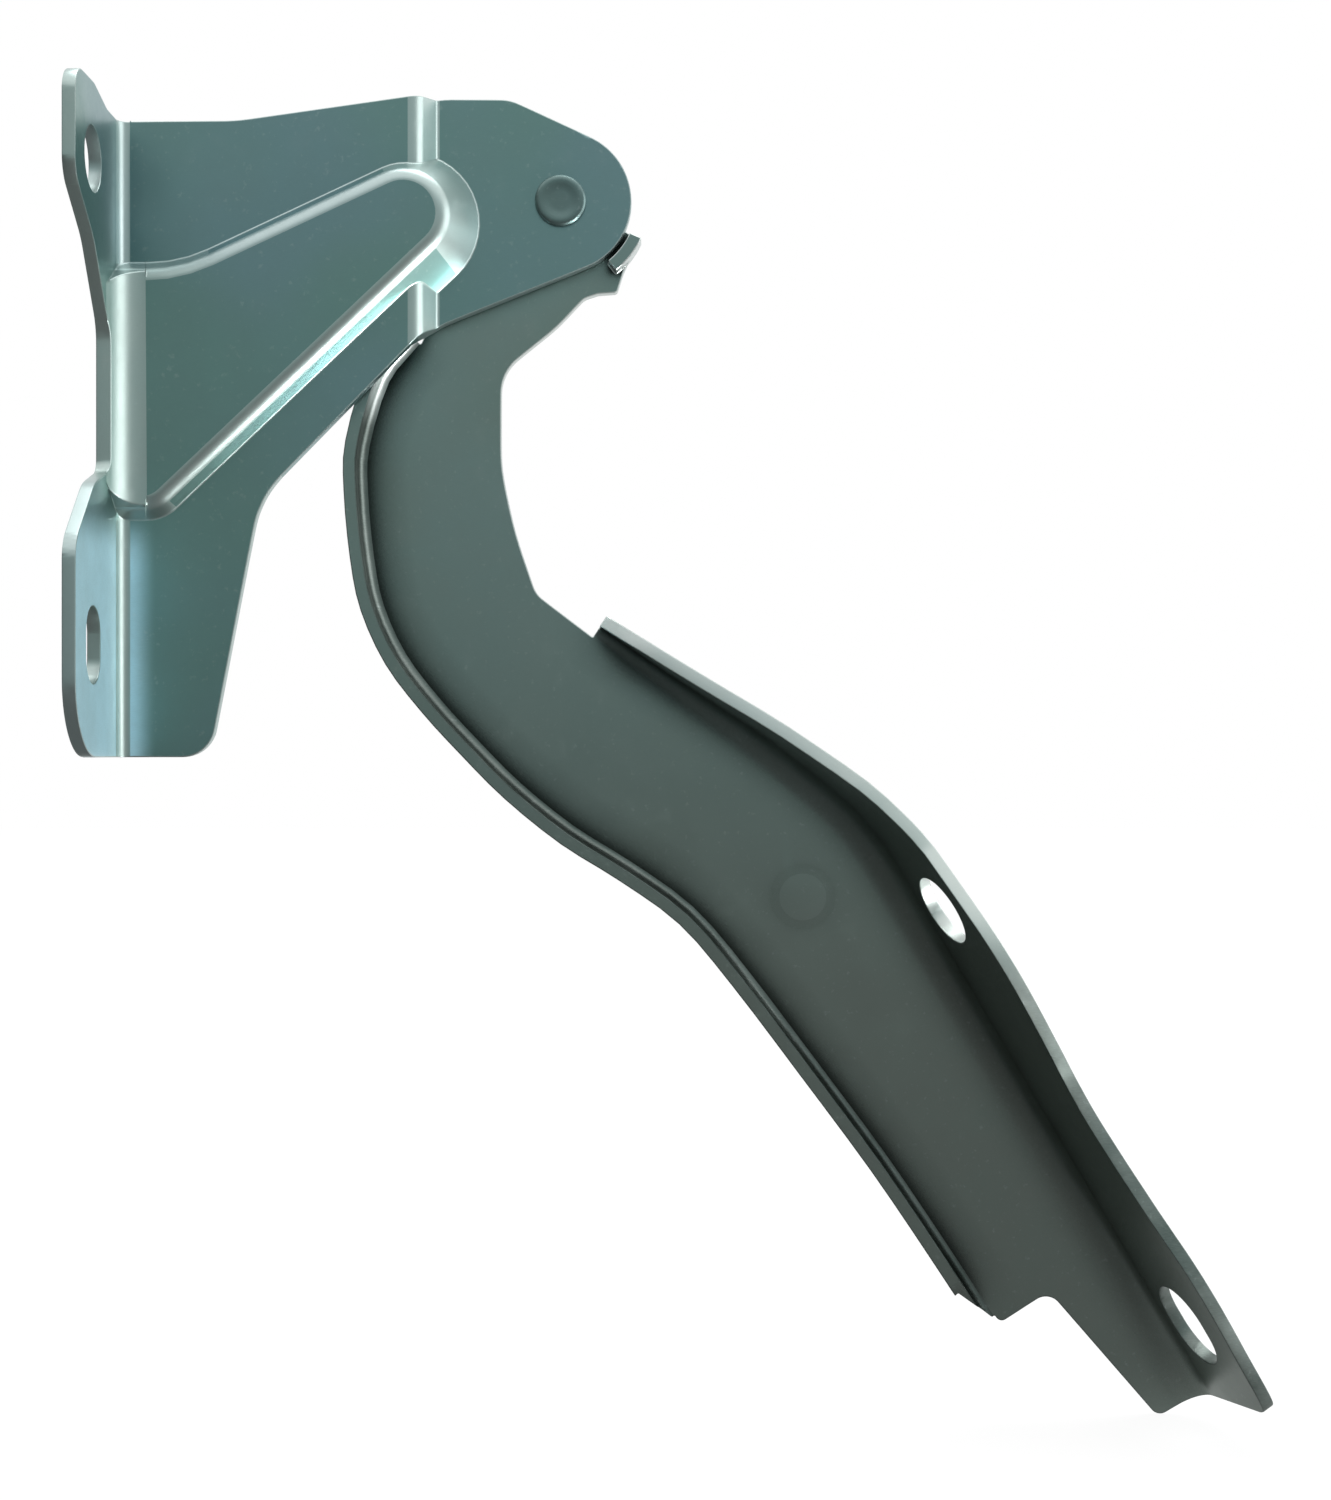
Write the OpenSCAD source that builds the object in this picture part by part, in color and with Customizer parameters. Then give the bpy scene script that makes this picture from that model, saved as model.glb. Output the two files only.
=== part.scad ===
// Hood hinge of a car: a pressed body bracket and a pressed hood arm that turn on a shouldered rivet.
// +Z is up and +X points from the body mounting face to the pivot. The open side of both
// pressings faces -Y. The origin is the centre of the upper body hole, on the mounting face.

/* [Sheet] */
// Thickness of the bracket's sheet
bracket_t = 2.3; // [2:0.1:2.5]
// Thickness of the arm's sheet
arm_t = 2.3; // [2:0.1:2.5]
// Inside radius of the flange bends
bend_r = 2; // [1.6:0.1:2.4]

/* [Pivot] */
// Distance from the body mounting face to the pivot axis
pivot_x = 80; // [79:0.5:84]
// Height of the upper body hole above the pivot axis
pivot_drop = 1.6; // [0:0.1:3]
// Angle of the arm's hood face below horizontal at rest
arm_angle = 59.4; // [57:0.2:62]
// Diameter of the rivet's shoulder, which the arm turns on
shoulder_d = 10; // [9:0.1:10.5]
// Diameter of the rivet's neck, in the bracket
neck_d = 8; // [7:0.1:8.5]
// Radial running clearance of the bush on the shoulder
running_gap = 0.04; // [0.02:0.01:0.08]
// Axial clearance at the bush flange and at the washer
axial_gap = 0.05; // [0.03:0.01:0.1]
// Wall of the bush
bush_wall = 1; // [0.8:0.1:1.2]
// Diameter of the bush flange
bush_flange_d = 19; // [17:0.5:20]
// Thickness of the bush flange
bush_flange_t = 0.45; // [0.4:0.05:0.6]
// Diameter of the washer
washer_d = 20; // [18:0.5:21]
// Thickness of the washer
washer_t = 1.2; // [1:0.1:1.6]
// Diameter of the formed head on the bracket
front_head_d = 9.1; // [8.8:0.1:11]
// Height of the formed head
front_head_h = 1; // [0.8:0.1:1.4]
// Diameter of the rivet's back head
back_head_d = 15; // [13:0.5:16]
// Height of the back head
back_head_h = 2.6; // [2:0.1:3]

/* [Bracket] */
// Radius of the bracket's head round the pivot
head_r = 12.7; // [12.3:0.1:13.2]
// Depth of the step between the bracket's web and its head
joggle = 5; // [4.8:0.1:5.6]
// Height of the raised dart on the web
dart_rise = 3.4; // [3:0.1:3.8]
// Slope of the dart's flanks
dart_slope = 58; // [54:1:62]
// Height of the flange's two pads, from the front of the web
pad_h = 29; // [28:0.5:31]
// Height of the flange between the pads
waist_h = 7; // [6.6:0.1:7.6]
// Height of the body holes above the front of the web
body_hole_h = 17.5; // [16.5:0.5:18]
// Diameter of the upper body hole
body_hole_d = 11; // [10:0.1:12]
// Distance from the upper body hole to the lower slot
body_spacing = 82; // [80:0.5:83]
// Width of the lower slot
body_slot_w = 9; // [8.5:0.1:10]
// Length of the lower slot
body_slot_l = 13; // [12:0.1:14]
// Height of the bracket below the pivot axis
bracket_drop = 99.4; // [98:0.2:101]

/* [Arm] */
// Radius of the arm's head round the pivot
arm_head_r = 11.5; // [11:0.1:12]
// Height of the lip along the arm's outer edge
lip_h = 4.6; // [4.2:0.1:4.8]
// Lean of the hood flange, past square to the web
flange_lean = 14; // [12:0.5:15]
// Inside radius of the hood flange's bend
hood_bend_r = 6.2; // [5.6:0.1:6.6]
// Distance of the hood face's root from the pivot axis
root_drop = 9.7; // [9:0.1:10]
// Place of the round hood hole along the arm
hood_hole_u = 142.7; // [141:0.1:144]
// Distance from the round hood hole to the slotted one
hood_spacing = 84; // [82:0.5:85]
// Height of the hood holes on the flange
hood_hole_s = 13; // [12.5:0.1:14]
// Diameter of the round hood hole, and width of the slotted one
hood_hole_d = 13; // [12:0.1:13.5]
// Length of the slotted hood hole
hood_slot_l = 15.5; // [15:0.1:16.5]
// Diameter of the round boss on the arm's web
boss_d = 11.7; // [10:0.1:13]
// Height of the boss
boss_h = 0.9; // [0.6:0.1:1.2]
// Radial gap between the bracket's head and the ear that folds over its edge
ear_gap = 0.9; // [0.7:0.1:1.2]

/* [Hidden] */
zinc = [0.46, 0.53, 0.51];
rivet_zinc = [0.40, 0.46, 0.45];
bronze = [0.55, 0.47, 0.30];
facet = 9;
over = 0.6;
far = 60;
$fn = 64;

// The sketches put the pivot axis at x = 0, z = 0 and the front of the arm's web at y = 0.
head_back = -(bush_flange_t + axial_gap);
head_front = head_back - bracket_t;
web_back = head_back - joggle;
web_front = web_back - bracket_t;
plateau = web_front - dart_rise;
face_x = -pivot_x;
inner_x = face_x + bracket_t;
hole_y = web_front - body_hole_h;
bush_bore_d = shoulder_d + 2 * running_gap;
bush_d = bush_bore_d + 2 * bush_wall;
washer_y = arm_t + axial_gap;
back_head_y = washer_y + washer_t;

function unit(v) = v / norm(v);
function flat(p) = [p[0], p[1]];
function turned(v, a) = [v[0] * cos(a) - v[1] * sin(a), v[0] * sin(a) + v[1] * cos(a)];
function polar(r, a) = [r * cos(a), r * sin(a)];
function turn_angle(a, b) = atan2(a[0] * b[1] - a[1] * b[0], a * b);
function arc(c, r, a0, a1, n) = [for (i = [0:n]) c + polar(r, a0 + (a1 - a0) * i / n)];

// One corner [x, y, radius] of an anticlockwise outline, moved inwards by w and rounded.
function corner(a, b, c, w) =
    let (d1 = unit(flat(b) - flat(a)), d2 = unit(flat(c) - flat(b)), f = turn_angle(d1, d2),
         n1 = [-d1[1], d1[0]], n2 = [-d2[1], d2[0]],
         q = flat(b) + w * (n1 + n2) / (1 + d1 * d2),
         r = b[2] - sign(f) * w, s = sign(f), run = r * tan(abs(f) / 2),
         m = max(2, ceil(abs(f) / facet)))
    b[2] == 0 || abs(f) < 0.2 ? [q]
        : [for (k = [0:m]) q - d1 * run + n1 * r * s + r * turned(-s * n1, f * k / m)];
function outline(v, w = 0) = let (n = len(v))
    [for (i = [0:n - 1]) each corner(v[(i + n - 1) % n], v[i], v[(i + 1) % n], w)];

// Points and directions of a smooth curve through p, with k steps in each span.
function curve_point(a, b, c, d, t) = 0.5 * (2 * b + (c - a) * t + (2 * a - 5 * b + 4 * c - d) * t * t
    + (3 * b - a - 3 * c + d) * t * t * t);
function curve_way(a, b, c, d, t) = unit(0.5 * ((c - a) + 2 * (2 * a - 5 * b + 4 * c - d) * t
    + 3 * (3 * b - a - 3 * c + d) * t * t));
function span(p, i, t) = let (n = len(p), a = i > 0 ? p[i - 1] : 2 * p[0] - p[1],
    d = i + 2 < n ? p[i + 2] : 2 * p[n - 1] - p[n - 2])
    [curve_point(a, p[i], p[i + 1], d, t), curve_way(a, p[i], p[i + 1], d, t)];
function curve(p, k) = let (n = len(p))
    [for (i = [0:n - 2]) for (j = [0:k - 1]) span(p, i, j / k), span(p, n - 2, 1)];

// A solid between rings of points, each ring nearer to the viewer than the one before.
module stacked(rings) {
    n = len(rings[0]);
    m = len(rings);
    polyhedron(points = [for (r = rings) each r], faces = concat(
        [[for (i = [0:n - 1]) i]], [[for (i = [n:-1:1]) n * (m - 1) + i % n]],
        [for (j = [0:m - 2]) for (i = [0:n - 1]) let (k = (i + 1) % n)
            each [[j * n + i, j * n + n + i, j * n + k], [j * n + k, j * n + n + i, j * n + n + k]]]));
}

// A strip of sheet swept through sections, each a list of [inside point, outside point] pairs.
module swept(sections) {
    n = len(sections[0]);
    m = len(sections);
    function at(j, i, s) = (j * n + i) * 2 + s;
    polyhedron(points = [for (q = sections) for (p = q) each p], faces = concat(
        [for (i = [0:n - 2]) [at(0, i, 0), at(0, i + 1, 0), at(0, i + 1, 1), at(0, i, 1)]],
        [for (i = [0:n - 2]) [at(m - 1, i, 1), at(m - 1, i + 1, 1), at(m - 1, i + 1, 0), at(m - 1, i, 0)]],
        [for (j = [0:m - 2]) for (i = [0:n - 2]) each [
            [at(j, i, 0), at(j + 1, i, 0), at(j, i + 1, 0)],
            [at(j + 1, i, 0), at(j + 1, i + 1, 0), at(j, i + 1, 0)],
            [at(j, i, 1), at(j, i + 1, 1), at(j + 1, i, 1)],
            [at(j + 1, i, 1), at(j, i + 1, 1), at(j + 1, i + 1, 1)]]],
        [for (j = [0:m - 2]) each [
            [at(j, 0, 0), at(j, 0, 1), at(j + 1, 0, 0)],
            [at(j + 1, 0, 0), at(j, 0, 1), at(j + 1, 0, 1)],
            [at(j, n - 1, 0), at(j + 1, n - 1, 0), at(j, n - 1, 1)],
            [at(j + 1, n - 1, 0), at(j + 1, n - 1, 1), at(j, n - 1, 1)]]]));
}

module to_part() translate([pivot_x, -hole_y, -pivot_drop]) children();
module along_y(y0, y1) translate([0, y1, 0]) rotate([90, 0, 0]) linear_extrude(y1 - y0) children();
module pin(d, y0, y1) along_y(y0, y1) circle(d = d);
module part_z(z0, z1) translate([0, 0, z0]) linear_extrude(z1 - z0) children();

// Body bracket: the sheet's section runs from the flange along the web and the joggle to the head.
joggle_slope = 60;
joggle_end = -21.6;
joggle_small_r = 0.8;
joggle_run = (2 * joggle_small_r + bracket_t) * sin(joggle_slope)
    + (joggle - (2 * joggle_small_r + bracket_t) * (1 - cos(joggle_slope))) / tan(joggle_slope);
joggle_start = joggle_end - joggle_run;
function bracket_path(o) = concat(
    [[inner_x - o, web_front - pad_h - 5]],
    arc([inner_x + bend_r, web_front - bend_r], bend_r + o, 180, 90, 8),
    arc([joggle_start, web_front + joggle_small_r + bracket_t], joggle_small_r + bracket_t - o,
        -90, joggle_slope - 90, 6),
    arc([joggle_end, head_front - joggle_small_r], joggle_small_r + o, 90 + joggle_slope, 90, 6),
    [[head_r + 3, head_front + o]]);
function reversed(v) = [for (i = [len(v) - 1:-1:0]) v[i]];

// Outline of the web as seen from the front. The head's two straight edges touch its round end.
upper_way = 65.2;
lower_way = -68.2;
function tangent(a, run) = polar(head_r, a) + polar(run, a + 90);
head_apex = polar(head_r / cos((upper_way - lower_way) / 2), (upper_way + lower_way) / 2);
neck_top = tangent(upper_way, 15.8);
neck_low = tangent(lower_way, -29.6);
web_outline = [[face_x - 2, -bracket_drop, 0], [-61.7, -bracket_drop, 6], [-52.9, -53.6, 18],
    [neck_low[0], neck_low[1], 16], [head_apex[0], head_apex[1], head_r], [neck_top[0], neck_top[1], 8],
    [-20.6, 18.2, 14], [-57, 13, 30], [face_x - 2, 12.8, 0]];

// Outline of the flange in y and z, seen from the mounting side.
pad_y = web_front - pad_h;
waist_y = web_front - waist_h;
upper_hole_z = pivot_drop;
lower_hole_z = pivot_drop - body_spacing;
flange_outline = [[head_back, -bracket_drop, 0], [head_back, 12.8, 0], [-16, 12.7, 6],
    [-24.5, 14.7, 5], [pad_y, 14.4, 4.5], [pad_y, upper_hole_z - 5.2, 6], [-25, upper_hole_z - 13.2, 12],
    [waist_y, -25, 8], [waist_y, -49.8, 3], [-24.5, -53, 10], [pad_y, -64, 7],
    [pad_y, -bracket_drop, 13]];

// The dart: a raised triangle with a round nose that runs out into the flange.
dart_round = 3;
dart_left = face_x - 4;
dart_upper_z = -12.2;
dart_lower_z = -57.5;
dart_run = dart_round * sin(dart_slope)
    + (dart_rise - dart_round * (1 - cos(dart_slope))) / tan(dart_slope);
dart_outline = [[dart_left, dart_lower_z, 0], [-69.8, dart_lower_z, 8], [22, 29.5, 9.5],
    [-67, dart_upper_z, 25], [dart_left, dart_upper_z, 0]];
function ring(y, w) = [for (p = outline(dart_outline, w)) [p[0], y, p[1]]];
function flank(y) = (web_front - y) / tan(dart_slope);
dart_corner_r = 5.5;
dart_corner_x = inner_x + dart_corner_r;
dart_corner_y = plateau - dart_corner_r;
dart_back = plateau + bracket_t;

module dart_front() stacked(concat([ring(web_front + 6, flank(web_front + 6))],
    [for (k = [0:5]) let (a = dart_slope * (1 - k / 5))
        ring(plateau + dart_round * (1 - cos(a)), dart_run - dart_round * sin(a))]));
module dart_tall() stacked([for (y = [web_front + 1, dart_corner_y - 1]) ring(y, flank(y))]);
module dart_hollow() stacked([for (y = [3, dart_back]) ring(y, flank(y) + bracket_t / sin(dart_slope))]);

// Where the dart meets the flange, the bend is wider.
module wide_bend_fill() part_z(dart_lower_z - 9, dart_upper_z + 9)
    polygon(concat([[inner_x - 0.5, plateau + 0.5], [inner_x - 0.5, dart_corner_y]],
        arc([dart_corner_x, dart_corner_y], dart_corner_r, 180, 90, 8),
        [[dart_corner_x, plateau + 0.5]]));
module wide_bend_keep() part_z(dart_lower_z - 9, dart_upper_z + 9)
    polygon(concat([[dart_corner_x, -far], [dart_left - 2, -far], [dart_left - 2, dart_corner_y]],
        arc([dart_corner_x, dart_corner_y], dart_corner_r + bracket_t, 180, 90, 8)));

module bracket_form() difference() {
    union() {
        part_z(-bracket_drop - 3, 25) polygon(concat(bracket_path(0), reversed(bracket_path(bracket_t))));
        intersection() {
            dart_front();
            part_z(-bracket_drop - 3, 25)
                polygon(concat(bracket_path(bracket_t / 2), [[head_r + 3, -far], [inner_x - 1, -far]]));
        }
        intersection() {
            wide_bend_fill();
            dart_tall();
        }
    }
    difference() {
        dart_hollow();
        wide_bend_keep();
    }
}

module body_bracket() color(zinc) to_part() difference() {
    intersection() {
        bracket_form();
        union() {
            along_y(dart_corner_y + 0.5, head_back + 1)
                intersection() {
                    polygon(outline(web_outline));
                    translate([inner_x + bend_r, -far * 2]) square([far * 3, far * 3]);
                }
            translate([face_x - 1, 0, 0]) rotate([90, 0, 90])
                linear_extrude(bracket_t + bend_r + 1.001) polygon(outline(flange_outline));
        }
    }
    pin(neck_d, head_front - 1, head_back + 1);
    translate([face_x - 1, hole_y, upper_hole_z]) rotate([0, 90, 0])
        cylinder(d = body_hole_d, h = bracket_t + 2);
    translate([face_x - 1, hole_y, lower_hole_z]) rotate([0, 90, 0])
        linear_extrude(bracket_t + 2) slot(body_slot_l, body_slot_w);
}

module slot(l, w) {
    for (s = [-1, 1]) translate([s * (l - w) / 2, 0]) circle(d = w);
    square([l - w, w], center = true);
}

// Hood arm, drawn with u along the hood face and w towards the hood, the pivot at the origin.
lip_r = 1.5;
lip_inset = arm_t + lip_r;
lip_curve = [[5, -36], [8.5, -45], [17.5, -54.8], [25, -59.6], [36, -64.8], [45, -67.9], [55.5, -69],
    [66, -67.8], [76, -65.7], [87, -62.9], [99, -58.4], [110, -52.7], [122, -47.5], [136, -45],
    [156, -42.7], [177, -40.5], [196, -39.3], [212, -38.6]];
flat_u = 132;
arm_end_u = 242.5;
root_curve = [[69, -32.8], [77, -29.2], [88, -24], [103, -17], [118, -11.6], [flat_u - 5, -root_drop - 0.3],
    [flat_u, -root_drop]];
function lean(u) = lookup(u, [[69, 2], [90, 4.5], [107, 7], [120, 10], [flat_u, flange_lean]]);
function bend(u) = lookup(u, [[69, 2], [76, 2.6], [85, 3.4], [96, 4.3], [107, 5.2], [flat_u, hood_bend_r]]);
function set_back(u) = bend(u) * tan((90 - lean(u)) / 2);
flange_rise = [[69, 3], [76, 8.5], [88, 12], [103, 15.5], [118, 18.5], [flat_u, 20.5]];
pad_rise = [[flat_u, 20.5], [143, 23.4], [151, 25], [160, 25.2], [172, 23.6], [185, 22], [204, 24.5],
    [213, 26.4], [222, 27], [232, 26.2], [238.5, 25.8], [arm_end_u - 1.2, 25.2], [arm_end_u - 0.3, 24.2],
    [arm_end_u, 22.8]];

// Section of the hood flange: from a stub in the web round the bend to the free edge, s up the flange.
function flange_section(u, s) = let (l = lean(u), r = bend(u), b = 90 - l, back = set_back(u)) concat(
    [[[-back - over, 0], [-back - over, arm_t]]],
    [for (k = [0:9]) let (a = b * k / 9) [[-back + r * sin(a), r * (cos(a) - 1)],
        [-back + (r + arm_t) * sin(a), (r + arm_t) * cos(a) - r]]],
    [[[s * sin(l), -s * cos(l)], [s * sin(l) + arm_t * cos(l), -s * cos(l) + arm_t * sin(l)]]]);
lip_section = concat(
    [[[-lip_inset - over, 0], [-lip_inset - over, arm_t]]],
    [for (k = [0:5]) let (a = 18 * k) [[-lip_inset + lip_r * sin(a), lip_r * (cos(a) - 1)],
        [-lip_inset + (lip_r + arm_t) * sin(a), (lip_r + arm_t) * cos(a) - lip_r]]],
    [[[-arm_t, -lip_h], [0, -lip_h]]]);
function left_of(d) = [-d[1], d[0]];
function placed(p, n, section) = [for (q = section) [for (s = q) [p[0] + s[0] * n[0], s[1], p[1] + s[0] * n[1]]]];

lip_way = curve(lip_curve, 3);
root_way = curve(root_curve, 3);
pad_way = curve(pad_rise, 2);
function rise(u) = lookup(u, flange_rise);

module hood_flange() swept(concat(
    [for (q = reversed(pad_way)) placed([q[0][0], -root_drop], [0, 1], flange_section(q[0][0], q[0][1]))],
    [for (i = [len(root_way) - 2:-1:0]) let (q = root_way[i])
        placed(q[0], left_of(q[1]), flange_section(q[0][0], rise(q[0][0])))]));

// The round hood hole and the slotted one, square to the hood face.
module hood_holes() translate([0, 0, -root_drop]) rotate([180 - flange_lean, 0, 0])
    translate([0, 0, -arm_t - 3]) linear_extrude(arm_t + 6) {
        translate([hood_hole_u, hood_hole_s]) circle(d = hood_hole_d);
        translate([hood_hole_u + hood_spacing, hood_hole_s]) slot(hood_slot_l, hood_hole_d);
    }

ear_in = head_r + ear_gap;
ear_out = ear_in + arm_t;
ear_from = 8;
ear_to = 35;
function corner_points(v) = [for (p = v) [p[0], p[1], 0]];
web_edge = concat(
    corner_points([for (q = lip_way) q[0] - left_of(q[1]) * -(lip_inset + over / 3)]),
    [[213.5, -34.4, 1.2], [213.1, -24, 3], [arm_end_u, -18.6, 2], [arm_end_u, -root_drop - set_back(arm_end_u) - over / 3, 0]],
    corner_points([for (q = reversed(root_way)) q[0] - left_of(q[1]) * (set_back(q[0][0]) + over / 3)]),
    [[58, -39.6, 5], [46.5, -37.2, 60], [35.2, -33.4, 30], [20.4, -24.6, 8], [18.6, -12, 30], [16.6, -5, 3],
     [17.2, -2.4, 0.6], [18.7, 0.6, 0.8], [ear_out + 0.3, 3.4, 2]],
    corner_points(arc([0, 0], ear_out, 18, ear_to, 3)),
    corner_points(arc([0, 0], arm_head_r, ear_to + 3, 205, 19)));

module lip() difference() {
    swept([for (q = lip_way) placed(q[0], -left_of(q[1]), lip_section)]);
    translate([202, -lip_h, -60]) rotate([0, 0, 24]) translate([0, -20, 0]) cube([40, 20, 40]);
    translate([204, -10, -38.2]) rotate([0, -21, 0]) translate([0, 0, -20]) cube([30, 20, 20]);
}

module ear() along_y(head_front, arm_t) polygon(concat(
    arc([0, 0], ear_in, ear_from, ear_to, 4), arc([0, 0], ear_out, ear_to, ear_from, 4)));

module hood_arm() color(zinc) to_part() rotate([0, arm_angle, 0]) difference() {
    union() {
        along_y(0, arm_t) polygon(outline(web_edge));
        hood_flange();
        lip();
        ear();
        translate([129.3, 0, -26]) pin(boss_d, -boss_h, arm_t / 2);
    }
    hood_holes();
    pin(bush_d, -1, arm_t + 1);
    translate([129.3, 0, -26]) pin(boss_d - 0.6, arm_t - boss_h, arm_t + 1);
}

// Bush: pressed into the arm, its flange between the arm and the bracket.
module pivot_bush() color(bronze) to_part() difference() {
    union() {
        pin(bush_d, -bush_flange_t / 2, arm_t);
        pin(bush_flange_d, -bush_flange_t, 0);
    }
    pin(bush_bore_d, -bush_flange_t - 1, arm_t + 1);
}

// Washer: on the rivet's shoulder, under its back head.
module back_washer() color(rivet_zinc) to_part() difference() {
    pin(washer_d, washer_y, back_head_y);
    pin(shoulder_d, washer_y - 1, back_head_y + 1);
}

// Rivet: a domed back head, the shoulder, the neck in the bracket and the head formed over it.
front_chamfer = 0.45;
function rivet_half() = [[0, head_front - front_head_h],
    [front_head_d / 2 - front_chamfer, head_front - front_head_h], [front_head_d / 2, head_front - front_head_h + front_chamfer],
    [front_head_d / 2, head_front], [neck_d / 2, head_front], [neck_d / 2, head_back],
    [shoulder_d / 2, head_back], [shoulder_d / 2, back_head_y], [back_head_d / 2, back_head_y],
    [back_head_d / 2, back_head_y + 0.8], [back_head_d / 2 - 1.4, back_head_y + back_head_h - 0.5],
    [back_head_d / 2 - 3, back_head_y + back_head_h], [0, back_head_y + back_head_h]];
module pivot_rivet() color(rivet_zinc) to_part() rotate([-90, 0, 0]) rotate_extrude()
    polygon(rivet_half());

body_bracket();
hood_arm();
pivot_rivet();
pivot_bush();
back_washer();
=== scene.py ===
# %% [markdown]
# # A hood hinge in zinc plated steel
# A hood hinge joins a car's hood to its body. Two pressings turn on one rivet: a bracket that bolts to
# the body, and a curved arm that bolts to the hood. The engineering model already has every sheet,
# bend and hole in its right place. This lesson gives those sheets the soft edges of a pressing, turns
# the small round pieces of the pivot, and finishes everything with a thin coat of zinc.

# %% Load the engineering model
import math

import bmesh
import bpy
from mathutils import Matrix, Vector


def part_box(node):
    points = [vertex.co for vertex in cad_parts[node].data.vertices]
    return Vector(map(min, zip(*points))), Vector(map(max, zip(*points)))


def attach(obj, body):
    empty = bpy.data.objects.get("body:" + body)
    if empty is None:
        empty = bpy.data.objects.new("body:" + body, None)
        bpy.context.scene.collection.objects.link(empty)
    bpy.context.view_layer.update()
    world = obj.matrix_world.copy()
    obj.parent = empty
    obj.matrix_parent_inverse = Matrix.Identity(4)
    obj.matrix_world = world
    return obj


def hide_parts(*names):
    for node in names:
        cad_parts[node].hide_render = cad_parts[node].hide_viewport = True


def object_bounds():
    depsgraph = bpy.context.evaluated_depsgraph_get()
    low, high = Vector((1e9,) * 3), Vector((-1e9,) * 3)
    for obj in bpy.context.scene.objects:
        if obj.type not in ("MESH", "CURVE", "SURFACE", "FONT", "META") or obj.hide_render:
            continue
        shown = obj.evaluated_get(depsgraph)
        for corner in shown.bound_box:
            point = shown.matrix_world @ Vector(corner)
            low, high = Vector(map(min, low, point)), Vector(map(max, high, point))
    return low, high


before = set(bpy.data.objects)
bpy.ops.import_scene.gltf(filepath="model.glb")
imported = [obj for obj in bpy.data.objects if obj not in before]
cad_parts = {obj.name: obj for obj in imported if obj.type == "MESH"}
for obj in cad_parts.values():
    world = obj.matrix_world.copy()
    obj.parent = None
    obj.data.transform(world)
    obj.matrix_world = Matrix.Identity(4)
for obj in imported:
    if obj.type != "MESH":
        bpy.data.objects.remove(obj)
cad_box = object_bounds()
MM = 0.001
print("nodes:", sorted(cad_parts))

# %% [markdown]
# ## Working as by hand
# Blender's operators act on whatever is selected, so each step starts by clearing the selection.
# The helpers below select one piece, open it for editing, and pick the faces that a step is about.

# %% Helpers for selecting and editing
def only(piece):
    """Selects one piece and nothing else."""
    if bpy.context.mode != "OBJECT":
        bpy.ops.object.mode_set(mode="OBJECT")
    bpy.ops.object.select_all(action="DESELECT")
    piece.select_set(True)
    bpy.context.view_layer.objects.active = piece
    return piece


def edit(piece, mode="VERT"):
    """Opens a piece for editing, with nothing selected."""
    only(piece)
    bpy.ops.object.mode_set(mode="EDIT")
    bpy.ops.mesh.select_mode(type=mode)
    bpy.ops.mesh.select_all(action="DESELECT")


def done(piece, angle=30):
    """Closes the piece, puts its origin at the model's origin and smooths its gentle edges."""
    only(piece)
    bpy.ops.object.transform_apply(location=True, rotation=True, scale=True)
    bpy.ops.object.shade_smooth_by_angle(angle=math.radians(angle))
    print(piece.name, "faces:", len(piece.data.polygons))
    return piece


def apply_modifiers(piece):
    only(piece)
    for modifier in list(piece.modifiers):
        bpy.ops.object.modifier_apply(modifier=modifier.name)


# %% [markdown]
# ## From engineering sheet to pressed sheet
# A sheet that leaves the press has no sharp edges: the punch rolls one edge over, and the zinc bath
# thickens the other. An exact model has knife edges, and a knife edge shows no line of light.
# So the mesh of each pressing is copied, its loose triangles are joined and its flat places made whole,
# and a small bevel rounds every edge. The copy then stands for the engineering piece.

# %% [markdown]
# A sheet's sheared wall is the narrow band between two sharp corners. The outlines are made of short
# straight runs, so the corners between those runs are rounded first. The walls then get a lighter finish of
# their own, a painted highlight along the edges.

# %% Walls and outlines
SHARP = math.radians(60)
RUN_ANGLES = (math.radians(3), math.radians(34))
RUN_LENGTH = 3 * MM
HOLE_WIDTH = 20 * MM
HOLE_FACES = 7
EDGE_AREA = 60 * MM * MM


def sheared_walls(bm):
    """The sharp corners of a sheet, and the four-sided walls between them."""
    sharp = {e for e in bm.edges if e.is_manifold and e.calc_face_angle(0) > SHARP}
    walls = [f for f in bm.faces if len(f.edges) == 4 and sum(e in sharp for e in f.edges) >= 2]
    return sharp, walls


def hole_walls(walls, sharp):
    """The walls that run round a hole, which is already round enough. A group's width is the longest
    way between any two of its walls, so it is the same wherever the search starts."""
    found = set()
    left = set(walls)
    while left:
        ring = [left.pop()]
        for f in ring:
            for e in f.edges:
                if e not in sharp:
                    near = [g for g in e.link_faces if g in left]
                    left.difference_update(near)
                    ring.extend(near)
        spots = [f.calc_center_median() for f in ring]
        width = max((a - b).length for a in spots for b in spots)
        if width < HOLE_WIDTH and len(ring) > HOLE_FACES:
            found.update(ring)
    return found


def round_outline(piece):
    """Rounds the corners between the short straight runs that an outline's curves are made of."""
    bm = bmesh.from_edit_mesh(piece.data)
    sharp, walls = sheared_walls(bm)
    walls = set(walls) - hole_walls(walls, sharp)
    bpy.ops.mesh.select_all(action="DESELECT")
    picked = 0
    for e in bm.edges:
        if e in sharp or not e.is_manifold or not all(f in walls for f in e.link_faces):
            continue
        if RUN_ANGLES[0] < e.calc_face_angle(0) < RUN_ANGLES[1] and e.calc_length() < RUN_LENGTH:
            e.select_set(True)
            picked += 1
    bmesh.update_edit_mesh(piece.data)
    bpy.ops.mesh.bevel(offset_type="PERCENT", offset_pct=33, segments=3, affect="EDGES", clamp_overlap=True)
    print(piece.name, "outline corners rounded:", picked)


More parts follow.
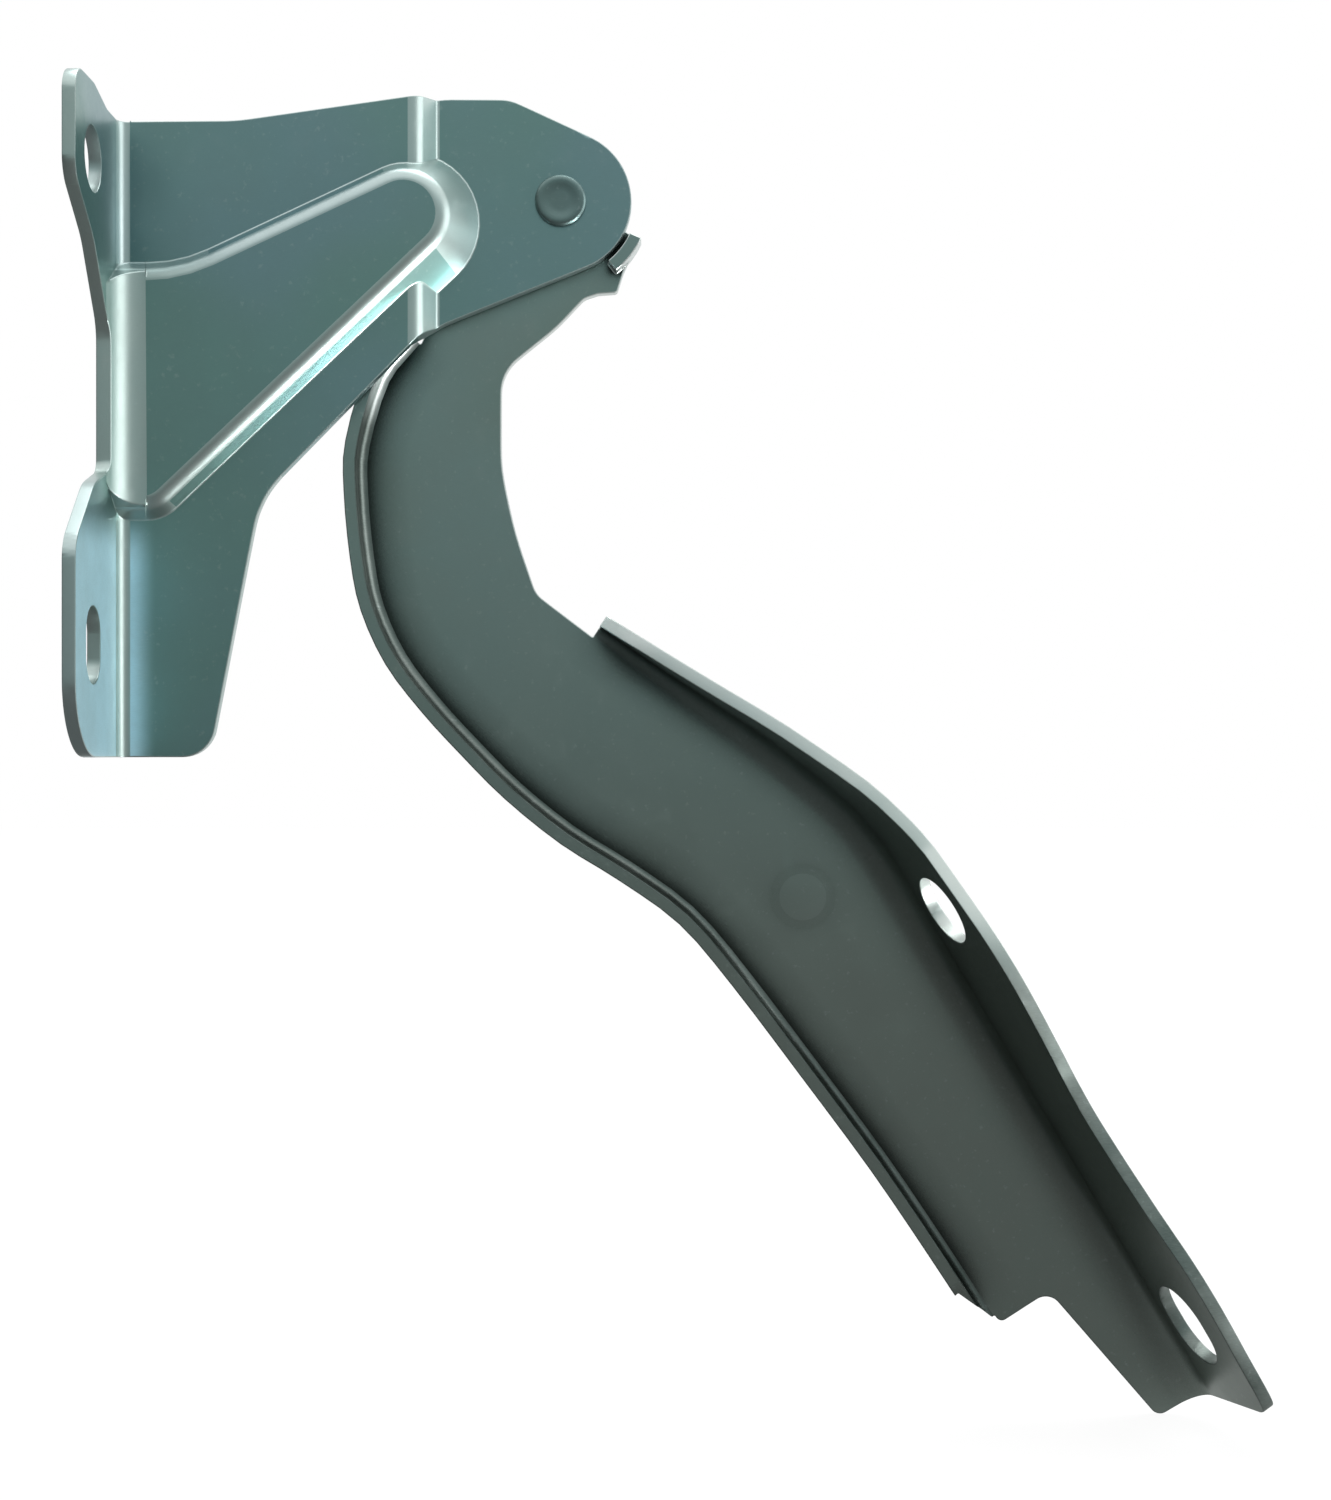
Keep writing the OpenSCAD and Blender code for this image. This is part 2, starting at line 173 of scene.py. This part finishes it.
def paint_edge_highlight(piece):
    """Gives the sheared walls, and the small faces that join them, the second finish, a lighter zinc that
    paints a highlight along the edges.
    """
    bm = bmesh.from_edit_mesh(piece.data)
    sharp, walls = sheared_walls(bm)
    walls = [f for f in walls if f.calc_area() < EDGE_AREA]
    reached = set(walls)
    for f in walls:
        for e in f.edges:
            if e not in sharp:
                near = [g for g in e.link_faces if g not in reached and g.calc_area() < EDGE_AREA]
                reached.update(near)
                walls.extend(near)
    for f in walls:
        f.material_index = 1
    bmesh.update_edit_mesh(piece.data)
    print(piece.name, "edge faces:", len(walls))


# %% A copy of a pressing with rounded edges
WELD = 0.004 * MM
SLIVER = 0.04 * MM


def pressed(node, name, edge, shape=None):
    """A copy of a CAD sheet with rounded edges. shape is a last change before the rounding."""
    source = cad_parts[node]
    piece = bpy.data.objects.new(name, source.data.copy())
    bpy.context.scene.collection.objects.link(piece)
    piece.data.materials.clear()
    piece.data.materials.append(None)
    piece.data.materials.append(None)
    edit(piece)
    bpy.ops.mesh.select_all(action="SELECT")
    bpy.ops.mesh.remove_doubles(threshold=WELD)
    bpy.ops.mesh.dissolve_limited(angle_limit=math.radians(0.05))
    bpy.ops.mesh.dissolve_degenerate(threshold=SLIVER)
    round_outline(piece)
    paint_edge_highlight(piece)
    if shape:
        shape(piece)
    bpy.ops.object.mode_set(mode="OBJECT")
    bevel = piece.modifiers.new("rounded_edges", "BEVEL")
    bevel.width = edge
    bevel.segments = 2
    bevel.limit_method = "ANGLE"
    bevel.angle_limit = RUN_ANGLES[1]
    bevel.use_clamp_overlap = False
    bevel.miter_outer = "MITER_ARC"
    # The bevel's faces take the lighter edge finish, a painted highlight.
    bevel.material = 1
    apply_modifiers(piece)
    done(piece, 30)
    flat = piece.modifiers.new("flat_faces", "WEIGHTED_NORMAL")
    flat.keep_sharp = True
    flat.weight = 100
    apply_modifiers(piece)
    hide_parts(node)
    return piece


# %% [markdown]
# ## The two pressings
# Sheet of 2.3 mm leaves the press with about a fifth of a millimetre of roundness on its edges.
# The arm also has a round boss, whose wall slopes because the punch draws it in.

# %% Bracket and arm
EDGE_ROUND = 0.22 * MM
BOSS_AREA = (80 * MM * MM, 115 * MM * MM)
BOSS_DRAW = 0.72


def soften_boss(piece):
    """Slopes the boss's wall by drawing its front face in."""
    bm = bmesh.from_edit_mesh(piece.data)
    front = min(f.calc_center_median().y for f in bm.faces if BOSS_AREA[0] < f.calc_area() < BOSS_AREA[1]
                and f.normal.y < -0.99)
    for f in bm.faces:
        same = abs(f.calc_center_median().y - front) < 0.01 * MM
        f.select_set(same and BOSS_AREA[0] < f.calc_area() < BOSS_AREA[1])
        if f.select:
            # The boss's walls go back to the face finish, without the painted edge highlight.
            for e in f.edges:
                for wall in e.link_faces:
                    wall.material_index = 0
            print("boss centre:", [round(c / MM, 2) for c in f.calc_center_median()])
    bmesh.update_edit_mesh(piece.data)
    bpy.ops.mesh.select_mode(type="FACE")
    bpy.ops.transform.resize(value=(BOSS_DRAW, 1, BOSS_DRAW))
    bpy.ops.mesh.select_mode(type="VERT")


bracket = pressed("body_bracket", "bracket_pressing", EDGE_ROUND)
arm = pressed("hood_arm", "arm_pressing", EDGE_ROUND, shape=soften_boss)

# %% [markdown]
# ## The pivot
# The rivet is a turned piece. It is drawn as a lathe would cut it: a disc is extruded along the pivot,
# step by step, and each step is scaled to its radius. The front head was formed with an orbiting
# tool, which leaves a shallow dish and a soft rim.

# %% Turned pieces
PIVOT = Vector((0.080, 0.0, -0.0016))


def turned(name, stations, sides=72):
    """A round piece on the pivot axis. Each station is (distance along Y, radius), in millimetres."""
    y, r = stations[0]
    bpy.ops.object.select_all(action="DESELECT")
    bpy.ops.mesh.primitive_circle_add(
        vertices=sides, radius=r * MM, fill_type="NGON", rotation=(math.radians(90), 0, 0),
        location=(PIVOT.x, y * MM, PIVOT.z))
    piece = bpy.context.object
    piece.name = name
    only(piece)
    bpy.ops.object.transform_apply(location=True, rotation=True, scale=True)
    bpy.ops.object.mode_set(mode="EDIT")
    bpy.ops.mesh.select_mode(type="FACE")
    bpy.ops.mesh.select_all(action="SELECT")
    for y2, r2 in stations[1:]:
        bpy.ops.mesh.extrude_region_move(TRANSFORM_OT_translate={"value": (0, (y2 - y) * MM, 0)})
        bpy.ops.transform.resize(value=(r2 / r, 1, r2 / r), center_override=(PIVOT.x, y2 * MM, PIVOT.z))
        y, r = y2, r2
    bpy.ops.mesh.select_all(action="SELECT")
    bpy.ops.mesh.normals_make_consistent(inside=False)
    bpy.ops.object.mode_set(mode="OBJECT")
    return piece


def bored(piece, radius):
    """Opens a bore through a turned piece: both end faces are inset, removed and bridged."""
    edit(piece, "FACE")
    bm = bmesh.from_edit_mesh(piece.data)
    ends = [f for f in bm.faces if abs(f.normal.y) > 0.99 and len(f.verts) > 8]
    for f in ends:
        f.select_set(True)
        outer = max((v.co - f.calc_center_median()).length for v in f.verts)
    bmesh.update_edit_mesh(piece.data)
    bpy.ops.mesh.inset(thickness=outer - radius, use_individual=True)
    bpy.ops.mesh.bridge_edge_loops()
    bpy.ops.object.mode_set(mode="OBJECT")
    return piece


def soften(piece, width):
    """Rounds the sharp edges of a turned piece."""
    bevel = piece.modifiers.new("soft", "BEVEL")
    bevel.width = width
    bevel.segments = 2
    bevel.limit_method = "ANGLE"
    bevel.angle_limit = RUN_ANGLES[1]
    apply_modifiers(piece)


# %% [markdown]
# The rivet's shoulder turns in the bush, so its radius is 5 mm there. The back head is a low dome.

# %% Rivet
front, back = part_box("pivot_rivet")
FRONT_Y = front.y / MM
BACK_Y = back.y / MM
dome = [(BACK_Y - 2.6 + 2.6 * math.sin(math.radians(a)), 7.5 * math.cos(math.radians(a)) ** 0.75)
        for a in (24, 38, 52, 64, 74, 82)]
rivet = turned("rivet", [
    (FRONT_Y + 0.18, 1.6), (FRONT_Y + 0.16, 2.3), (FRONT_Y + 0.05, 2.9), (FRONT_Y, 3.5),
    (FRONT_Y, 4.05), (FRONT_Y + 0.12, 4.32), (FRONT_Y + 0.42, 4.55), (FRONT_Y + 1.0, 4.55),
    (FRONT_Y + 1.0, 4.0), (FRONT_Y + 3.3, 4.0), (FRONT_Y + 3.3, 5.0), (BACK_Y - 2.6, 5.0),
    (BACK_Y - 2.6, 7.3), (BACK_Y - 2.4, 7.5), (BACK_Y - 1.9, 7.5)]
    + [p for p in dome if p[0] > BACK_Y - 1.7])
done(rivet, 32)
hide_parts("pivot_rivet")

# %% [markdown]
# The washer and the bush are rings, so each is a turned disc with a bore.

# %% Washer and bush
low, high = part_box("back_washer")
washer = bored(turned("washer", [(low.y / MM, 9.98), (high.y / MM, 9.98)]), 5.0 * MM)
soften(washer, 0.12 * MM)
done(washer, 32)
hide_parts("back_washer")
low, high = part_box("pivot_bush")
bush = bored(turned("bush", [
    (low.y / MM, 9.48), (low.y / MM + 0.45, 9.48), (low.y / MM + 0.45, 6.04),
    (high.y / MM, 6.04)]), 5.04 * MM)
soften(bush, 0.06 * MM)
done(bush, 32)
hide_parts("pivot_bush")

# %% [markdown]
# ## A small language for finishes
# A finish is a web of nodes. Written out one by one, the nodes hide what the finish is, so one small
# class wraps a socket and lets sums on it be written as sums.

# %% Sums on sockets
class Wire:
    """A value that flows through a finish."""

    def __init__(self, finish, socket):
        self.finish = finish
        self.socket = socket

    def sum_of(self, operation, first, second):
        return self.finish.node("ShaderNodeMath", {"operation": operation}, {0: first, 1: second})

    def __add__(self, other):
        return self.sum_of("ADD", self, other)

    def __radd__(self, other):
        return self.sum_of("ADD", other, self)

    def __sub__(self, other):
        return self.sum_of("SUBTRACT", self, other)

    def __rsub__(self, other):
        return self.sum_of("SUBTRACT", other, self)

    def __mul__(self, other):
        return self.sum_of("MULTIPLY", self, other)

    def __rmul__(self, other):
        return self.sum_of("MULTIPLY", other, self)


class Finish:
    """A material, or the world, made of nodes."""

    def __init__(self, owner):
        owner.use_nodes = True
        self.tree = owner.node_tree
        self.tree.nodes.clear()

    def node(self, kind, settings=None, sockets=None, output=0):
        node = self.tree.nodes.new(kind)
        for name, value in (settings or {}).items():
            setattr(node, name, value)
        for name, value in (sockets or {}).items():
            if isinstance(value, Wire):
                self.tree.links.new(value.socket, node.inputs[name])
            else:
                node.inputs[name].default_value = value
        return Wire(self, node.outputs[output]) if node.outputs else node

    def several(self, kind, sockets=None):
        """A node of which more than one output is used, as a list of wires by name."""
        self.node(kind, {}, sockets)
        return {output.name: Wire(self, output) for output in self.tree.nodes[-1].outputs}

    def mix(self, factor, first, second):
        return self.node("ShaderNodeMix", {"data_type": "RGBA"}, {0: factor, 6: first, 7: second}, 2)

    def between(self, value, low, high, start=0.0, stop=1.0):
        """value moved from the range low to high into the range start to stop, and kept in it."""
        return self.node("ShaderNodeMapRange", {"interpolation_type": "SMOOTHSTEP"},
                         {0: value, 1: low, 2: high, 3: start, 4: stop})

    def place(self, scale=(1, 1, 1), turn=(0, 0, 0)):
        where = self.node("ShaderNodeTexCoord", output=3)
        return self.node("ShaderNodeMapping", {}, {"Vector": where, "Scale": scale, "Rotation": turn})

    def noise(self, where, size, detail=2.0, roughness=0.5):
        """Noise whose lumps are about size metres across."""
        return self.node("ShaderNodeTexNoise", {}, {"Vector": where, "Scale": 1 / size, "Detail": detail,
                                                    "Roughness": roughness})


def rgb(red, green, blue):
    """A colour as a screen shows it, from 0 to 255, as the shader wants it."""
    def linear(value):
        value = value / 255
        return value / 12.92 if value <= 0.04045 else ((value + 0.055) / 1.055) ** 2.4
    return (linear(red), linear(green), linear(blue), 1.0)


# %% [markdown]
# ## Zinc plating
# Clear passivated zinc is a metal coat a few hundredths of a millimetre thick. It is never one flat
# grey: the passivation drifts between blue and green over a few centimetres, the bath leaves faint
# clouds, the rolled steel under it shows as very fine lines, and handling leaves small dull marks.
# Colour, roughness and relief below follow those four things, at judged sizes. A second tone can be laid
# over a zone, and recesses can be darkened: these are painted light and painted shade, a lighter tone where
# light falls and darker tones where shade falls. The zones are placed by position, to match one photograph.
# They are a painter's choice and no property of the plating.

# %% Zinc finish
METAL = 0.97
RECESS_SHADE_REACH = 9 * MM


def zinc(name, blue, green, dull, rough, roll=(1, 1, 9), turn=(0, 0, 0), second=None,
         zone=None, zone_metal_loss=0.0, recess_shade_strength=0.0):
    """Zinc that drifts from blue to green. In a zone it takes the colour second, a painted tone for the
    light and shade that fall there, and the argument after zone takes that much of its metal away there.
    Its last argument darkens its recesses, a painted shade."""
    material = bpy.data.materials.new(name)
    finish = Finish(material)
    here = finish.place()
    along = finish.place(roll, turn)
    drift = finish.between(finish.noise(here, 0.045, 1.0), 0.38, 0.62)
    cloud = finish.between(finish.noise(here, 0.011, 4.0, 0.6), 0.3, 0.72)
    lines = finish.noise(along, 0.0011, 5.0, 0.7)
    specks = finish.between(finish.noise(here, 0.0012, 3.0, 0.65), 0.6, 0.74)
    # Painted shade: ambient occlusion finds the recesses, where shade falls.
    if recess_shade_strength:
        open_air = finish.node("ShaderNodeAmbientOcclusion", {"only_local": True, "samples": 8},
                               {"Distance": RECESS_SHADE_REACH}, 1)
        painted_recess_shade = finish.between(1 - open_air, 0.02, 0.34)
    marks = finish.between(finish.noise(here, 0.0048, 3.0, 0.7), 0.56, 0.7)
    tone = finish.mix(drift, blue, green)
    metal = METAL
    if second:
        inside = zone(finish, finish.several("ShaderNodeSeparateXYZ", {0: here}))
        tone = finish.mix(inside, tone, second)
        metal = METAL - inside * zone_metal_loss
    tone = finish.mix(cloud * 0.2, tone, dull)
    tone = finish.mix(finish.between(lines, 0.35, 0.7) * 0.12, tone, dull)
    tone = finish.mix(specks * 0.16, tone, rgb(196, 208, 206))
    # Painted shade: the recesses are darkened towards near black.
    if recess_shade_strength:
        tone = finish.mix(painted_recess_shade * recess_shade_strength, tone, rgb(24, 28, 26))
    roughness = rough + cloud * 0.07 + marks * 0.06 + lines * 0.05
    height = lines * 0.5 + finish.noise(here, 0.0006, 2.0) * 0.5
    relief = finish.node("ShaderNodeBump", {}, {"Strength": 0.22, "Distance": 0.00003, "Height": height})
    shader = finish.node("ShaderNodeBsdfPrincipled", {}, {
        "Base Color": tone, "Metallic": metal, "Roughness": roughness, "Normal": relief})
    finish.node("ShaderNodeOutputMaterial", {}, {"Surface": shader})
    return material


def dress(piece, slot, body, *finishes):
    """Gives a piece its finishes and the body that it moves with. slot is not used."""
    for index, finish in enumerate(finishes):
        if index < len(piece.data.materials):
            piece.data.materials[index] = finish
        else:
            piece.data.materials.append(finish)
    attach(piece, body)


# %% Zones
def painted_light_lower_flange(finish, at):
    """The bracket's flange below the dart, which takes a pale tone that paints the light falling on it."""
    return finish.between(at["X"], 0.009, 0.004) * finish.between(at["Z"], -0.056, -0.066)


def painted_shade_lower_arm(finish, at):
    """The arm, from its bend down to its end, which takes a greyer, darker tone, a painted shade."""
    return finish.between(at["Z"], -0.06, -0.15)


def painted_shade_lip_and_low_end(finish, at):
    """The lip's side of a slanting line through the arm, and the lower end of the hood flange, whose edges
    take a dark tone, a painted shade.
    """
    flange_side = finish.between(at["Z"] + 1.215 * at["X"], 0.0126, 0.0226)
    return 1 - flange_side * finish.between(at["Z"], -0.150, -0.125)


# %% Finishes
# The bracket's lower flange takes a pale blue tone and less metal, a painted light.
bracket_zinc = zinc("bracket_zinc", rgb(128, 156, 160), rgb(124, 156, 151), rgb(112, 140, 138), 0.27,
                    second=rgb(190, 228, 240), zone=painted_light_lower_flange, zone_metal_loss=0.5)
# The arm's lower part takes a greyer, darker tone, a painted shade, and its recesses are darkened, a
# painted shade.
arm_zinc = zinc("arm_zinc", rgb(138, 158, 155), rgb(134, 152, 146), rgb(124, 138, 132), 0.28,
                turn=(0, math.radians(-30), 0), second=rgb(132, 142, 136), zone=painted_shade_lower_arm, recess_shade_strength=1.0)
# The edge finishes are lighter than the faces, a painted highlight along the edges.
edge_highlight_zinc = zinc("edge_highlight_zinc", rgb(178, 194, 194), rgb(176, 192, 188), rgb(156, 170, 166), 0.3)
# The hood flange's edges are near white, a painted highlight, and dark on the lip's side and at the low
# end, a painted shade.
hood_edge_highlight_and_shade_zinc = zinc("hood_edge_highlight_and_shade_zinc", rgb(198, 206, 204), rgb(196, 204, 200), rgb(178, 186, 182), 0.3,
                      second=rgb(92, 102, 98), zone=painted_shade_lip_and_low_end)
rivet_zinc = zinc("rivet_zinc", rgb(112, 134, 134), rgb(112, 132, 128), rgb(96, 112, 110), 0.32)
bush_bronze = zinc("bush_bronze", rgb(176, 150, 104), rgb(168, 140, 96), rgb(130, 108, 76), 0.42)
dress(bracket, "bracket_steel", "bracket", bracket_zinc, edge_highlight_zinc)
dress(arm, "arm_steel", "arm", arm_zinc, hood_edge_highlight_and_shade_zinc)
dress(rivet, "rivet_steel", "bracket", rivet_zinc)
dress(washer, "washer_steel", "bracket", rivet_zinc)
dress(bush, "bush_bronze", "arm", bush_bronze)
print("finishes:", [m.name for m in bpy.data.materials])

# %% [markdown]
# ## The floor and the light
# The camera sees a white floor and a white world, and the floor still takes the hinge's shadow.
# Metal shows what stands round it. A mirror ray therefore sees a dimmer room: dark on the left, grey
# in front, bright above, behind and on the right, over a floor that is dimmed near the hinge. This
# makes the steel darker than its written colour, so under a plain white room it would look paler.

# %% Floor
FLOOR_WHITE = 1.12
FLOOR_GLOW = 0.82
bpy.ops.object.select_all(action="DESELECT")
floor_z = cad_box[0][2] - 0.0005
bpy.ops.mesh.primitive_plane_add(size=6, location=(0.1, 0.0, floor_z))
floor = bpy.context.object
floor.name = "floor"
paper = Finish(bpy.data.materials.new("white_paper"))
ray = paper.several("ShaderNodeLightPath")
spot = paper.several("ShaderNodeSeparateXYZ", {0: paper.node("ShaderNodeTexCoord", output=3)})
dim = paper.between(spot["X"], -0.05, 0.13, 0.03, 0.22)
near_white = paper.between(spot["Y"] + spot["X"], 0.07, 0.17)
mirrored = dim + (1.0 - dim) * near_white
white_level = (ray["Is Camera Ray"] * FLOOR_WHITE + ray["Is Transmission Ray"] * FLOOR_WHITE
               + ray["Is Glossy Ray"] * mirrored)
seen = ray["Is Camera Ray"] + ray["Is Transmission Ray"] + ray["Is Glossy Ray"]
lit = paper.node("ShaderNodeBsdfDiffuse", {}, {"Color": (0.86, 0.86, 0.86, 1)})
white = paper.node("ShaderNodeEmission", {}, {"Color": (1, 1, 1, 1), "Strength": white_level})
both = paper.node("ShaderNodeMixShader", {}, {0: seen * FLOOR_GLOW, 1: lit, 2: white})
paper.node("ShaderNodeOutputMaterial", {}, {"Surface": both})
floor.data.materials.append(bpy.data.materials["white_paper"])
print("floor height:", round(floor_z, 5))

# %% World
PLAIN = 0.55
world = bpy.data.worlds.new("studio")
bpy.context.scene.world = world
room = Finish(world)
ray = room.several("ShaderNodeLightPath")
way = room.several("ShaderNodeSeparateXYZ", {0: room.node("ShaderNodeTexCoord")})
front = room.between(way["Z"], -0.30, 0.30, 0.26, 0.52)
left = room.between(way["X"], -0.70, -0.25, 1.0, 0.0)
right = room.between(way["X"], 0.62, 0.90)
above = room.between(way["Z"], 0.34, 0.60)
behind = room.between(way["Y"], 0.20, 0.60)
level = front * (1 - left * 0.92)
level = level + (0.85 - level) * right
level = level + (1.3 - level) * above
level = level + (1.0 - level) * behind
tint = room.mix(room.between(way["Z"], -0.25, 0.15), rgb(255, 252, 246), rgb(232, 255, 255))
dim_side = (1 - right) * (1 - above) * (1 - behind)
mirror = ray["Is Glossy Ray"]
tint = room.mix(mirror * dim_side, (1, 1, 1, 1), tint)
strength = ray["Is Camera Ray"] + (1 - ray["Is Camera Ray"]) * (mirror * level + (1 - mirror) * PLAIN)
sky = room.node("ShaderNodeBackground", {}, {"Color": tint, "Strength": strength})
room.node("ShaderNodeOutputWorld", {}, {"Surface": sky})
print("world:", world.name)

# %% [markdown]
# Three soft boxes light the hinge: a wide one at the right, a wide one above and behind, and a small
# narrow one low in front at the right, which catches the dart's lower flank.

# %% Lamps
def soft_box(name, place, target, size, power, spread=180):
    """A rectangular lamp that the camera does not see, turned to a target."""
    data = bpy.data.lights.new(name, "AREA")
    data.shape = "RECTANGLE"
    data.size, data.size_y = size
    data.energy = power
    data.spread = math.radians(spread)
    lamp = bpy.data.objects.new(name, data)
    bpy.context.scene.collection.objects.link(lamp)
    lamp.location = place
    lamp.visible_camera = False
    lamp.rotation_euler = (Vector(target) - Vector(place)).to_track_quat("-Z", "Y").to_euler()
    print(name, "power:", power)


soft_box("right_box", (0.95, -0.10, 0.00), (0.08, 0.02, -0.08), (0.8, 0.8), 3.5)
soft_box("top_box", (0.20, 0.20, 0.95), (0.08, 0.02, -0.08), (0.8, 0.8), 5)
soft_box("low_box", (0.225, -0.055, -0.215), (0.05, 0.015, -0.055), (0.08, 0.13), 0.11, spread=60)

# %% [markdown]
# ## The camera
# The photograph was taken square to the sheets from about 0.4 m, a little below the bracket.

# %% Camera
lens = bpy.data.cameras.new("camera")
lens.sensor_fit = "VERTICAL"
lens.sensor_height = 36
lens.lens = 53.33
lens.clip_start = 0.01
camera = bpy.data.objects.new("camera", lens)
bpy.context.scene.collection.objects.link(camera)
camera.location = (0.09877, -0.3747, -0.09973)
camera.rotation_euler = (math.radians(90), 0, 0)
bpy.context.scene.camera = camera
bpy.context.scene.view_settings.view_transform = "Standard"
